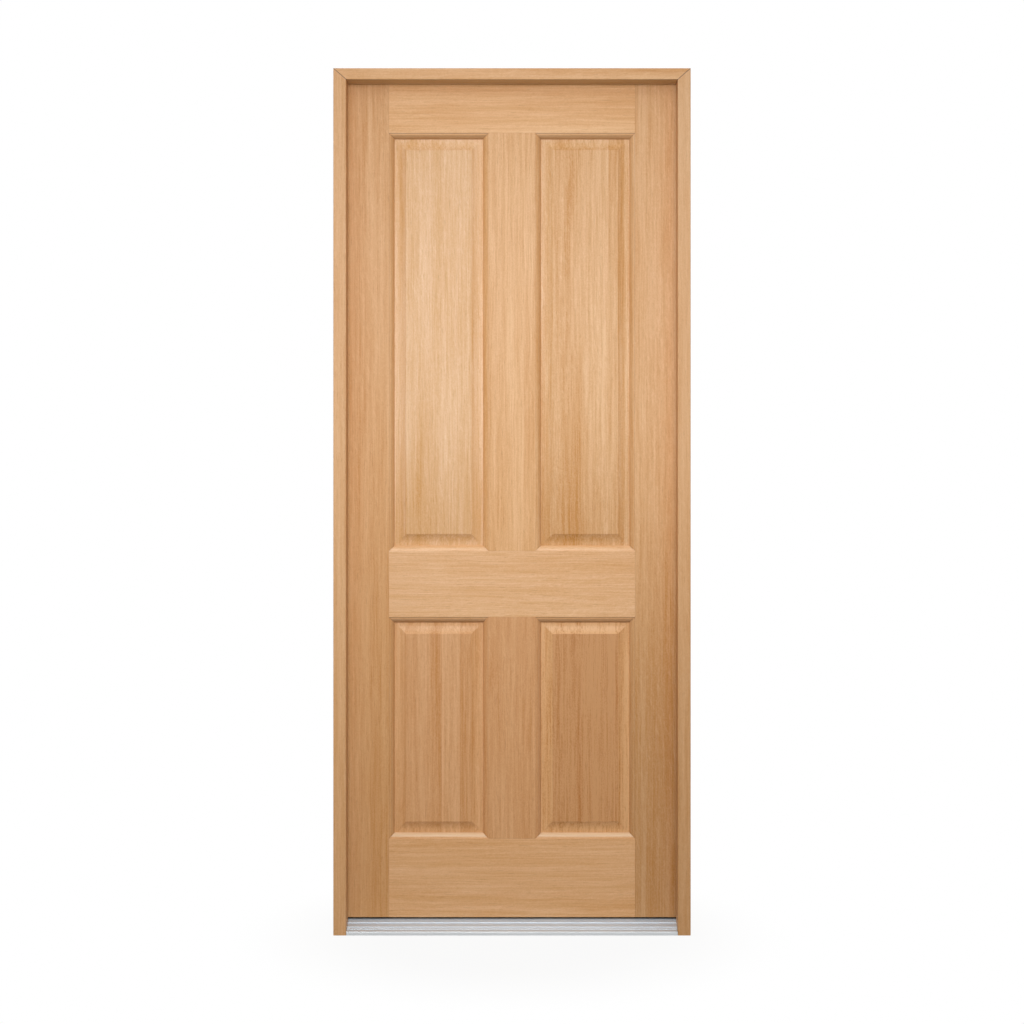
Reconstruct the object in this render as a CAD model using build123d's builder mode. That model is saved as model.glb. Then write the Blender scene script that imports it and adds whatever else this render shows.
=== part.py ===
from build123d import *
import os

os.makedirs("parts", exist_ok=True)

# Door leaf, a standard size of front door with four panels
leaf_width = 813
leaf_height = 2032
leaf_thickness = 44
stile_face = 107
top_rail_face = 124
middle_rail_face = 161
bottom_rail_face = 191
muntin_face = 115
lower_opening_height = 539

# Moulding worked on the inner edges of stiles, rails and muntins: a step, an ovolo and a lip
moulding_width = 13
moulding_depth = 12
quirk_step = 1.2
lip_drop = 1.6
ovolo_slope_share = 0.1
groove_depth = 12

# Raised and fielded panels, free to move in the grooves
field_recess = 3
bevel_width = 28
panel_clearance = 0.2
panel_edge_room = 2

# Dowels across the joints of the leaf
rail_dowel_diameter = 16
rail_dowel_length = 120
muntin_dowel_diameter = 12
muntin_dowel_length = 80
glue_gap = 0.1
dowel_end_room = 1
top_rail_dowel_shares = (0.3, 0.7)
middle_rail_dowel_shares = (0.25, 0.75)
bottom_rail_dowel_shares = (0.2, 0.5, 0.8)
muntin_dowel_share = 0.25

# Frame: rebated jambs and head, mitred at the top corners
frame_depth = 95
stop_depth = 47
jamb_face = 31
head_face = 27
jamb_rebate = 11
arris_radius = 1.5
side_gap = 3
top_gap = 3
bottom_gap = 5

# Weather seals in the frame: a stem in a groove and a hollow bulb facing the leaf
seal_groove_width = 3
seal_groove_depth = 8
seal_fit = 0.2
seal_bulb_width = 7
seal_bulb_radius = 1.6
seal_wall = 0.9
seal_clearance = 0.3

# Threshold: a ribbed hollow extrusion, notched round the stops of the jambs
threshold_height = 27
nose_height = 7
nose_radius = 1.5
ramp_run = 53
crest_radius = 4
inner_slope_run = 9
inner_edge_height = 20
threshold_wall = 2.2
threshold_end_clearance = 0.2
rib_radius = 1.5
rib_run_shares = (0.045, 0.255, 0.4, 0.72)
web_setback = 33
port_radius = 4.4
port_height = 9
slot_mouth = 5
slot_width = 9
slot_lip = 1.8
slot_depth = 5.5
threshold_bulb_width = 11
threshold_bulb_radius = 2.2

# Butt hinges: five knuckles on a fixed pin, with two bearings
hinge_height = 100
plate_thickness = 3
plate_reach = 30.5
plate_clearance = 0.2
barrel_radius = 6.5
barrel_proud = 7.5
barrel_notch_clearance = 0.6
pin_radius = 3.5
pin_running_clearance = 0.05
pin_head_radius = 5.4
pin_head_height = 3.2
pin_dome_height = 1.6
bearing_thickness = 2
bearing_clearance = 0.2
bearing_inset = 0.4
knuckle_gap = 0.4
knuckle_count = 5
upper_hinge_drop = 150
lower_hinge_rise = 225
hinge_hole_height_shares = (0.14, 0.38, 0.62, 0.86)
hinge_hole_reach_shares = (0.3, 0.68)

# Countersunk screws, without their fine threads
screw_radius = 2.3
screw_head_radius = 4.4
screw_tip_length = 4
screw_clearance = 0.1
screw_head_sink = 0.1
screw_end_room = 1
leaf_screw_length = 32
jamb_screw_length = 18
corner_screw_length = 60
threshold_screw_length = 55
corner_screw_depth_shares = (-0.26, 0.22)

# Levels, from the floor line
leaf_bottom = threshold_height + bottom_gap
leaf_top = leaf_bottom + leaf_height
lower_opening_bottom = leaf_bottom + bottom_rail_face
lower_opening_top = lower_opening_bottom + lower_opening_height
upper_opening_bottom = lower_opening_top + middle_rail_face
upper_opening_top = leaf_top - top_rail_face
head_rebate = jamb_rebate * head_face / jamb_face
frame_height = leaf_top + top_gap + head_face - head_rebate

# Places across the width, from the middle of the doorway
shoulder = leaf_width / 2 - stile_face
opening_width = shoulder - muntin_face / 2
panel_centre = (shoulder + muntin_face / 2) / 2
rebate_half_width = leaf_width / 2 + side_gap
stop_half_width = rebate_half_width - jamb_rebate
frame_half_width = stop_half_width + jamb_face

# Places through the depth, from outside to inside
frame_front = -frame_depth / 2
frame_back = frame_depth / 2
stop_back = frame_front + stop_depth
leaf_front = frame_back - leaf_thickness
leaf_middle = frame_back - leaf_thickness / 2

# Hinge line and hinge heights
pin_x = -leaf_width / 2 - side_gap / 2
pin_y = frame_back + barrel_proud
plate_start = frame_back - plate_reach
jamb_plate_face = -rebate_half_width
leaf_plate_face = -leaf_width / 2
upper_hinge_bottom = leaf_top - upper_hinge_drop - hinge_height
lower_hinge_bottom = leaf_bottom + lower_hinge_rise
hinge_bottoms = {
    "upper": upper_hinge_bottom,
    "middle": (upper_hinge_bottom + lower_hinge_bottom) / 2,
    "lower": lower_hinge_bottom,
}
bearing_space = bearing_thickness + 2 * bearing_clearance
knuckle_spaces = (bearing_space, knuckle_gap, knuckle_gap, bearing_space)
knuckle_height = (hinge_height - sum(knuckle_spaces)) / knuckle_count
knuckle_bottoms = [index * knuckle_height + sum(knuckle_spaces[:index]) for index in range(knuckle_count)]
jamb_knuckles = knuckle_bottoms[0::2]
leaf_knuckles = knuckle_bottoms[1::2]
pin_bore_radius = pin_radius + pin_running_clearance

left = (-1, 0, 0)
right = (1, 0, 0)
inwards = (0, 1, 0)
outwards = (0, -1, 0)
up = (0, 0, 1)
down = (0, 0, -1)


def moulded_half(face):
    """Section of a member from its plain edge or centre line to its moulded and grooved edge."""
    half = leaf_thickness / 2
    edge = face + moulding_width
    groove_bottom = edge - groove_depth
    groove_half = half - moulding_depth
    ovolo_start = (face, half - quirk_step)
    ovolo_end = (edge, groove_half + lip_drop)
    with BuildSketch() as section:
        with BuildLine():
            Polyline((0, 0), (0, half), (face, half), ovolo_start)
            TangentArc(ovolo_start, ovolo_end, tangent=(1, -ovolo_slope_share))
            Polyline(ovolo_end, (edge, groove_half), (groove_bottom, groove_half), (groove_bottom, 0), (0, 0))
        make_face()
        mirror(about=Plane.XZ)
    return section.sketch


def stile_section():
    """A stile is moulded on its inner edge, and its outer arrises are eased."""
    with BuildSketch() as section:
        add(moulded_half(stile_face))
        fillet(section.vertices().group_by(Axis.X)[0], arris_radius)
    return section.sketch


def double_section(face):
    """A member between two openings is moulded on both edges."""
    with BuildSketch() as section:
        add(moulded_half(face / 2))
        mirror(about=Plane.YZ)
    return section.sketch


def panel_section(opening):
    """A panel across one opening: a flat field, a hollow bevel down to the sight line, and a tongue."""
    sight = opening / 2 - moulding_width
    field_half = leaf_thickness / 2 - field_recess
    tongue_half = leaf_thickness / 2 - moulding_depth - panel_clearance
    tip = sight + groove_depth - panel_edge_room
    field_edge = (sight - bevel_width, field_half)
    with BuildSketch() as section:
        with BuildLine():
            Polyline((0, 0), (0, field_half), field_edge)
            TangentArc((sight, tongue_half), field_edge, tangent=left)
            Polyline((sight, tongue_half), (tip, tongue_half), (tip, 0), (0, 0))
        make_face()
        mirror(about=Plane.XZ)
        mirror(about=Plane.YZ)
    return section.sketch


def frame_section(face, rebate):
    """A frame member from its back to the doorway: stop outside, rebate inside, seal groove between."""
    with BuildSketch() as section:
        with BuildLine():
            Polyline(
                (0, frame_front),
                (face, frame_front),
                (face, stop_back),
                (face - rebate, stop_back),
                (face - rebate, frame_back),
                (0, frame_back),
                close=True,
            )
        make_face()
        fillet(section.vertices().group_by(Axis.Y)[0], arris_radius)
        fillet(section.vertices().group_by(Axis.Y)[-1], arris_radius)
        with Locations((face - rebate / 2, stop_back)):
            Rectangle(
                seal_groove_width,
                seal_groove_depth,
                align=(Align.CENTER, Align.MAX),
                mode=Mode.SUBTRACT,
            )
    return section.sketch


def bulb_section(stem_width, stem_depth, bulb_width, bulb_height, bulb_radius):
    """A seal with a stem below its seat and a hollow bulb above it."""
    hollow = 2 * seal_wall
    with BuildSketch() as section:
        Rectangle(stem_width, stem_depth, align=(Align.CENTER, Align.MAX))
        with Locations((0, bulb_height / 2)):
            RectangleRounded(bulb_width, bulb_height, bulb_radius)
            RectangleRounded(
                bulb_width - hollow,
                bulb_height - hollow,
                bulb_radius - seal_wall,
                mode=Mode.SUBTRACT,
            )
    return section.sketch


def frame_seal_section(face, rebate):
    """A frame seal in its groove, reaching almost to the leaf."""
    with BuildSketch() as section:
        with Locations((face - rebate / 2, stop_back)):
            add(
                bulb_section(
                    seal_groove_width - 2 * seal_fit,
                    seal_groove_depth - seal_fit,
                    seal_bulb_width,
                    leaf_front - stop_back - seal_clearance,
                    seal_bulb_radius,
                )
            )
    return section.sketch


def screw_profile(length):
    """Half a countersunk screw, its head at the top and its point at the bottom."""
    neck = screw_head_radius - screw_radius
    with BuildSketch() as section:
        with BuildLine():
            Polyline((0, 0), (screw_head_radius, 0), (screw_radius, -neck))
            Polyline((screw_radius, -neck), (screw_radius, screw_tip_length - length), (0, -length), (0, 0))
        make_face()
    return section.sketch


def rail_dowel_places(side):
    """Dowel centres at the shoulder line on one side, pointing along the rails."""
    rows = (
        (leaf_bottom, bottom_rail_face, bottom_rail_dowel_shares),
        (lower_opening_top, middle_rail_face, middle_rail_dowel_shares),
        (upper_opening_top, top_rail_face, top_rail_dowel_shares),
    )
    return [
        Plane(origin=(side * shoulder, leaf_middle, bottom + share * face), z_dir=right)
        for bottom, face, shares in rows
        for share in shares
    ]


def muntin_dowel_places(*levels):
    """Dowel centres at the given rail edges, pointing along the muntins."""
    offset = muntin_dowel_share * muntin_face
    return [
        Plane(origin=(side * offset, leaf_middle, level), z_dir=up)
        for level in levels
        for side in (-1, 1)
    ]


def hinge_hole_places(face, facing):
    """Screw places on the plates of all three hinges, in a zigzag, pointing out of the plate."""
    return [
        Plane(
            origin=(
                face,
                plate_start + hinge_hole_reach_shares[index % 2] * plate_reach,
                bottom + share * hinge_height,
            ),
            z_dir=facing,
        )
        for bottom in hinge_bottoms.values()
        for index, share in enumerate(hinge_hole_height_shares)
    ]


def ramp_height(depth):
    """Height of the threshold's outer slope at a place through the depth."""
    return nose_height + (threshold_height - nose_height) * (depth - frame_front) / ramp_run


rail_dowel_bore = rail_dowel_diameter / 2 + glue_gap
rail_dowel_bore_depth = rail_dowel_length / 2 + dowel_end_room
muntin_dowel_bore = muntin_dowel_diameter / 2 + glue_gap
muntin_dowel_bore_depth = muntin_dowel_length / 2 + dowel_end_room
screw_bore = screw_radius + screw_clearance
screw_sink_radius = screw_head_radius + screw_clearance
right_angle = 90

# Hinge stile, on the left seen from outside, with the hinge recesses in its edge
with BuildPart() as hinge_stile:
    with BuildSketch(Plane(origin=(-leaf_width / 2, leaf_middle, leaf_bottom), x_dir=right, z_dir=up)):
        add(stile_section())
    extrude(amount=leaf_height)
    with Locations(*rail_dowel_places(-1)):
        Hole(rail_dowel_bore, depth=rail_dowel_bore_depth)
    with BuildSketch(Plane(origin=(leaf_plate_face, 0, 0), x_dir=inwards, z_dir=right)):
        for bottom in hinge_bottoms.values():
            with Locations((plate_start - plate_clearance, bottom - plate_clearance)):
                Rectangle(
                    plate_reach + 2 * plate_clearance,
                    hinge_height + 2 * plate_clearance,
                    align=(Align.MIN, Align.MIN),
                )
    extrude(amount=plate_thickness, mode=Mode.SUBTRACT)
    with Locations(*hinge_hole_places(leaf_plate_face, left)):
        Hole(screw_bore, depth=leaf_screw_length + screw_end_room)
hinge_stile.part.label = "hinge_stile"
export_step(hinge_stile.part, "parts/hinge_stile.step")

# Lock stile, the plain one
with BuildPart() as lock_stile:
    with BuildSketch(Plane(origin=(leaf_width / 2, leaf_middle, leaf_top), x_dir=left, z_dir=down)):
        add(stile_section())
    extrude(amount=leaf_height)
    with Locations(*rail_dowel_places(1)):
        Hole(rail_dowel_bore, depth=rail_dowel_bore_depth)
lock_stile.part.label = "lock_stile"
export_step(lock_stile.part, "parts/lock_stile.step")

# Rails, coped over the moulding of the stiles with their tongues in the grooves
with BuildPart() as top_rail:
    with BuildSketch(Plane(origin=(-shoulder, leaf_middle, leaf_top), x_dir=down, z_dir=right)):
        add(moulded_half(top_rail_face))
    extrude(amount=2 * shoulder)
    add(hinge_stile.part, mode=Mode.SUBTRACT)
    add(lock_stile.part, mode=Mode.SUBTRACT)
    with Locations(*rail_dowel_places(-1), *rail_dowel_places(1)):
        Hole(rail_dowel_bore, depth=rail_dowel_bore_depth)
    with Locations(*muntin_dowel_places(upper_opening_top)):
        Hole(muntin_dowel_bore, depth=muntin_dowel_bore_depth)
top_rail.part.label = "top_rail"
export_step(top_rail.part, "parts/top_rail.step")

middle_rail_middle = (lower_opening_top + upper_opening_bottom) / 2
with BuildPart() as middle_rail:
    with BuildSketch(Plane(origin=(-shoulder, leaf_middle, middle_rail_middle), x_dir=up, z_dir=right)):
        add(double_section(middle_rail_face))
    extrude(amount=2 * shoulder)
    add(hinge_stile.part, mode=Mode.SUBTRACT)
    add(lock_stile.part, mode=Mode.SUBTRACT)
    with Locations(*rail_dowel_places(-1), *rail_dowel_places(1)):
        Hole(rail_dowel_bore, depth=rail_dowel_bore_depth)
    with Locations(*muntin_dowel_places(lower_opening_top, upper_opening_bottom)):
        Hole(muntin_dowel_bore, depth=muntin_dowel_bore_depth)
middle_rail.part.label = "middle_rail"
export_step(middle_rail.part, "parts/middle_rail.step")

with BuildPart() as bottom_rail:
    with BuildSketch(Plane(origin=(-shoulder, leaf_middle, leaf_bottom), x_dir=up, z_dir=right)):
        add(moulded_half(bottom_rail_face))
    extrude(amount=2 * shoulder)
    add(hinge_stile.part, mode=Mode.SUBTRACT)
    add(lock_stile.part, mode=Mode.SUBTRACT)
    with Locations(*rail_dowel_places(-1), *rail_dowel_places(1)):
        Hole(rail_dowel_bore, depth=rail_dowel_bore_depth)
    with Locations(*muntin_dowel_places(lower_opening_bottom)):
        Hole(muntin_dowel_bore, depth=muntin_dowel_bore_depth)
bottom_rail.part.label = "bottom_rail"
export_step(bottom_rail.part, "parts/bottom_rail.step")

# Muntins, coped over the moulding of the rails
with BuildPart() as upper_muntin:
    with BuildSketch(Plane(origin=(0, leaf_middle, upper_opening_bottom), x_dir=right, z_dir=up)):
        add(double_section(muntin_face))
    extrude(amount=upper_opening_top - upper_opening_bottom)
    add(middle_rail.part, mode=Mode.SUBTRACT)
    add(top_rail.part, mode=Mode.SUBTRACT)
    with Locations(*muntin_dowel_places(upper_opening_bottom, upper_opening_top)):
        Hole(muntin_dowel_bore, depth=muntin_dowel_bore_depth)
upper_muntin.part.label = "upper_muntin"
export_step(upper_muntin.part, "parts/upper_muntin.step")

with BuildPart() as lower_muntin:
    with BuildSketch(Plane(origin=(0, leaf_middle, lower_opening_bottom), x_dir=right, z_dir=up)):
        add(double_section(muntin_face))
    extrude(amount=lower_opening_height)
    add(bottom_rail.part, mode=Mode.SUBTRACT)
    add(middle_rail.part, mode=Mode.SUBTRACT)
    with Locations(*muntin_dowel_places(lower_opening_bottom, lower_opening_top)):
        Hole(muntin_dowel_bore, depth=muntin_dowel_bore_depth)
lower_muntin.part.label = "lower_muntin"
export_step(lower_muntin.part, "parts/lower_muntin.step")

# Panels: the section across and the section up meet in mitred bevels, on both faces
panel_rows = {
    "upper": (upper_opening_bottom, upper_opening_top),
    "lower": (lower_opening_bottom, lower_opening_top),
}
panel_sides = {"left": -1, "right": 1}
for row, (bottom, top) in panel_rows.items():
    for side, sign in panel_sides.items():
        with BuildPart() as panel:
            with BuildSketch(Plane(origin=(sign * panel_centre, leaf_middle, bottom), x_dir=right, z_dir=up)):
                add(panel_section(opening_width))
            extrude(amount=top - bottom)
            with BuildSketch(Plane(origin=(0, leaf_middle, (bottom + top) / 2), x_dir=up, z_dir=right)):
                add(panel_section(top - bottom))
            extrude(amount=leaf_width / 2, both=True, mode=Mode.INTERSECT)
        panel.part.label = f"{row}_{side}_panel"
        export_step(panel.part, f"parts/{row}_{side}_panel.step")

# Dowels that hold the leaf together
with BuildPart() as rail_dowels:
    with Locations(*rail_dowel_places(-1), *rail_dowel_places(1)):
        Cylinder(rail_dowel_diameter / 2, rail_dowel_length)
rail_dowels.part.label = "rail_dowels"
export_step(rail_dowels.part, "parts/rail_dowels.step")

with BuildPart() as muntin_dowels:
    with Locations(*muntin_dowel_places(*panel_rows["lower"], *panel_rows["upper"])):
        Cylinder(muntin_dowel_diameter / 2, muntin_dowel_length)
muntin_dowels.part.label = "muntin_dowels"
export_step(muntin_dowels.part, "parts/muntin_dowels.step")

# Places of the screws that hold the frame together, each pointing out of the jamb's back
slot_block_half = slot_width / 2 + threshold_wall
front_web = frame_front + web_setback
slot_block_outer = leaf_middle - slot_block_half
slot_block_inner = leaf_middle + slot_block_half
back_web = slot_block_inner - threshold_wall / 2
corner_screw_level = frame_height - (head_face - head_rebate) / 2


def corner_screw_places(side, facing):
    """Two screws through the top of a jamb into the head."""
    return [
        Plane(origin=(side * frame_half_width, share * frame_depth, corner_screw_level), z_dir=facing)
        for share in corner_screw_depth_shares
    ]


def threshold_screw_places(side, facing):
    """Two screws through the foot of a jamb into the threshold's screw ports."""
    return [
        Plane(origin=(side * frame_half_width, depth, port_height), z_dir=facing)
        for depth in (front_web, back_web)
    ]


# Mitre planes at the top corners of the frame
left_mitre = Plane(origin=(-frame_half_width, 0, frame_height), z_dir=(head_face, 0, jamb_face))
right_mitre = Plane(origin=(frame_half_width, 0, frame_height), z_dir=(-head_face, 0, jamb_face))
hinge_jamb_plane = Plane(origin=(-frame_half_width, 0, 0), x_dir=right, z_dir=up)
lock_jamb_plane = Plane(origin=(frame_half_width, 0, frame_height), x_dir=left, z_dir=down)
head_plane = Plane(origin=(-frame_half_width, 0, frame_height), x_dir=down, z_dir=right)

# Hinge jamb
with BuildPart() as hinge_jamb:
    with BuildSketch(hinge_jamb_plane):
        add(frame_section(jamb_face, jamb_rebate))
    extrude(amount=frame_height)
    split(bisect_by=left_mitre, keep=Keep.BOTTOM)
    with BuildSketch(Plane(origin=(jamb_plate_face, 0, 0), x_dir=inwards, z_dir=right)):
        for bottom in hinge_bottoms.values():
            with Locations((plate_start - plate_clearance, bottom - plate_clearance)):
                Rectangle(
                    plate_reach + 2 * plate_clearance,
                    hinge_height + 2 * plate_clearance,
                    align=(Align.MIN, Align.MIN),
                )
    extrude(amount=-plate_thickness, mode=Mode.SUBTRACT)
    with Locations(*hinge_hole_places(jamb_plate_face, right)):
        Hole(screw_bore, depth=jamb_screw_length + screw_end_room)
    with Locations(*corner_screw_places(-1, left)):
        CounterSinkHole(screw_bore, screw_sink_radius, corner_screw_length, right_angle)
    with Locations(*threshold_screw_places(-1, left)):
        CounterSinkHole(screw_bore, screw_sink_radius, threshold_screw_length, right_angle)
hinge_jamb.part.label = "hinge_jamb"
export_step(hinge_jamb.part, "parts/hinge_jamb.step")

# Lock jamb
with BuildPart() as lock_jamb:
    with BuildSketch(lock_jamb_plane):
        add(frame_section(jamb_face, jamb_rebate))
    extrude(amount=frame_height)
    split(bisect_by=right_mitre, keep=Keep.BOTTOM)
    with Locations(*corner_screw_places(1, right)):
        CounterSinkHole(screw_bore, screw_sink_radius, corner_screw_length, right_angle)
    with Locations(*threshold_screw_places(1, right)):
        CounterSinkHole(screw_bore, screw_sink_radius, threshold_screw_length, right_angle)
lock_jamb.part.label = "lock_jamb"
export_step(lock_jamb.part, "parts/lock_jamb.step")

# Head
with BuildPart() as head:
    with BuildSketch(head_plane):
        add(frame_section(head_face, head_rebate))
    extrude(amount=2 * frame_half_width)
    split(bisect_by=left_mitre, keep=Keep.TOP)
    split(bisect_by=right_mitre, keep=Keep.TOP)
    with Locations(*corner_screw_places(-1, left), *corner_screw_places(1, right)):
        Hole(screw_bore, depth=corner_screw_length + screw_end_room)
head.part.label = "head"
export_step(head.part, "parts/head.step")

# Seals in the stops, mitred like the frame
with BuildPart() as hinge_jamb_seal:
    with BuildSketch(hinge_jamb_plane.offset(threshold_height + seal_clearance)):
        add(frame_seal_section(jamb_face, jamb_rebate))
    extrude(amount=frame_height - threshold_height - seal_clearance)
    split(bisect_by=left_mitre, keep=Keep.BOTTOM)
hinge_jamb_seal.part.label = "hinge_jamb_seal"
export_step(hinge_jamb_seal.part, "parts/hinge_jamb_seal.step")

with BuildPart() as lock_jamb_seal:
    with BuildSketch(lock_jamb_plane):
        add(frame_seal_section(jamb_face, jamb_rebate))
    extrude(amount=frame_height - threshold_height - seal_clearance)
    split(bisect_by=right_mitre, keep=Keep.BOTTOM)
lock_jamb_seal.part.label = "lock_jamb_seal"
export_step(lock_jamb_seal.part, "parts/lock_jamb_seal.step")

with BuildPart() as head_seal:
    with BuildSketch(head_plane):
        add(frame_seal_section(head_face, head_rebate))
    extrude(amount=2 * frame_half_width)
    split(bisect_by=left_mitre, keep=Keep.TOP)
    split(bisect_by=right_mitre, keep=Keep.TOP)
head_seal.part.label = "head_seal"
export_step(head_seal.part, "parts/head_seal.step")

# Threshold
threshold_half_length = rebate_half_width - threshold_end_clearance
threshold_plane = Plane(origin=(-threshold_half_length, 0, 0), x_dir=inwards, z_dir=right)
crest = frame_front + ramp_run
inner_slope_start = frame_back - inner_slope_run
roof = threshold_height - threshold_wall
slot_floor = threshold_height - slot_depth - threshold_wall
half_wall = threshold_wall / 2
with BuildPart() as threshold:
    with BuildSketch(threshold_plane) as section:
        with BuildLine():
            Polyline((frame_front, 0), (frame_front, nose_height), (crest, threshold_height))
            Polyline((crest, threshold_height), (inner_slope_start, threshold_height))
            Polyline((inner_slope_start, threshold_height), (frame_back, inner_edge_height))
            Polyline((frame_back, inner_edge_height), (frame_back, 0), (frame_front, 0))
        make_face()
        fillet(section.vertices().sort_by_distance((frame_front, nose_height))[0], nose_radius)
        fillet(section.vertices().sort_by_distance((crest, threshold_height))[0], crest_radius)
        fillet(section.vertices().sort_by_distance((inner_slope_start, threshold_height))[0], crest_radius)
        fillet(section.vertices().sort_by_distance((frame_back, inner_edge_height))[0], nose_radius)
        rib_depths = [frame_front + share * ramp_run for share in rib_run_shares]
        with Locations(*[(depth, ramp_height(depth)) for depth in rib_depths]):
            Circle(rib_radius)
        nose_cell_start = frame_front + threshold_wall
        nose_cell_end = front_web - half_wall
        with BuildLine():
            Polyline(
                (nose_cell_start, threshold_wall),
                (nose_cell_end, threshold_wall),
                (nose_cell_end, ramp_height(nose_cell_end) - threshold_wall),
                (nose_cell_start, ramp_height(nose_cell_start) - threshold_wall),
                close=True,
            )
        make_face(mode=Mode.SUBTRACT)
        crest_cell_start = front_web + half_wall
        with BuildLine():
            Polyline(
                (crest_cell_start, threshold_wall),
                (slot_block_outer, threshold_wall),
                (slot_block_outer, roof),
                (crest, roof),
                (crest_cell_start, ramp_height(crest_cell_start) - threshold_wall),
                close=True,
            )
        make_face(mode=Mode.SUBTRACT)
        with Locations((leaf_middle, threshold_wall)):
            Rectangle(
                slot_width,
                slot_floor - threshold_wall,
                align=(Align.CENTER, Align.MIN),
                mode=Mode.SUBTRACT,
            )
        with BuildLine():
            Polyline(
                (slot_block_inner, threshold_wall),
                (frame_back - threshold_wall, threshold_wall),
                (frame_back - threshold_wall, inner_edge_height - threshold_wall),
                (inner_slope_start, roof),
                (slot_block_inner, roof),
                close=True,
            )
        make_face(mode=Mode.SUBTRACT)
        with Locations((leaf_middle, threshold_height - slot_lip)):
            Rectangle(
                slot_width,
                slot_depth - slot_lip,
                align=(Align.CENTER, Align.MAX),
                mode=Mode.SUBTRACT,
            )
            Rectangle(slot_mouth, 2 * slot_lip, mode=Mode.SUBTRACT)
        with Locations((front_web, port_height), (back_web, port_height)):
            Circle(port_radius)
            Circle(screw_bore, mode=Mode.SUBTRACT)
    extrude(amount=2 * threshold_half_length)
    notch_edge = stop_half_width - threshold_end_clearance
    with BuildSketch(Plane.XY):
        with Locations((notch_edge, frame_front - rib_radius)):
            Rectangle(
                rebate_half_width - notch_edge,
                stop_depth + rib_radius + threshold_end_clearance,
                align=(Align.MIN, Align.MIN),
            )
        mirror(about=Plane.YZ)
    extrude(amount=threshold_height + rib_radius, mode=Mode.SUBTRACT)
threshold.part.label = "threshold"
export_step(threshold.part, "parts/threshold.step")

with BuildPart() as threshold_seal:
    with BuildSketch(threshold_plane):
        with Locations((leaf_middle, threshold_height)):
            add(
                bulb_section(
                    slot_mouth - 2 * seal_fit,
                    slot_depth - seal_fit,
                    threshold_bulb_width,
                    bottom_gap - seal_clearance,
                    threshold_bulb_radius,
                )
            )
        with Locations((leaf_middle, threshold_height - slot_lip - seal_fit)):
            Rectangle(
                slot_width - 2 * seal_fit,
                slot_depth - slot_lip - 2 * seal_fit,
                align=(Align.CENTER, Align.MAX),
            )
    extrude(amount=2 * threshold_half_length)
threshold_seal.part.label = "threshold_seal"
export_step(threshold_seal.part, "parts/threshold_seal.step")

# Screws
screw_sets = {
    "corner_screws": (
        corner_screw_length,
        corner_screw_places(-1, left) + corner_screw_places(1, right),
    ),
    "threshold_screws": (
        threshold_screw_length,
        threshold_screw_places(-1, left) + threshold_screw_places(1, right),
    ),
    "hinge_leaf_screws": (leaf_screw_length, hinge_hole_places(leaf_plate_face, left)),
    "hinge_frame_screws": (jamb_screw_length, hinge_hole_places(jamb_plate_face, right)),
}
for screw_name, (length, places) in screw_sets.items():
    with BuildPart() as screw:
        with BuildSketch(Plane(origin=(0, 0, -screw_head_sink), x_dir=right, z_dir=outwards)):
            add(screw_profile(length))
        revolve(axis=Axis.Z)

    with BuildPart() as screws:
        with Locations(*places):
            add(screw.part)
    screws.part.label = screw_name
    export_step(screws.part, f"parts/{screw_name}.step")

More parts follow.
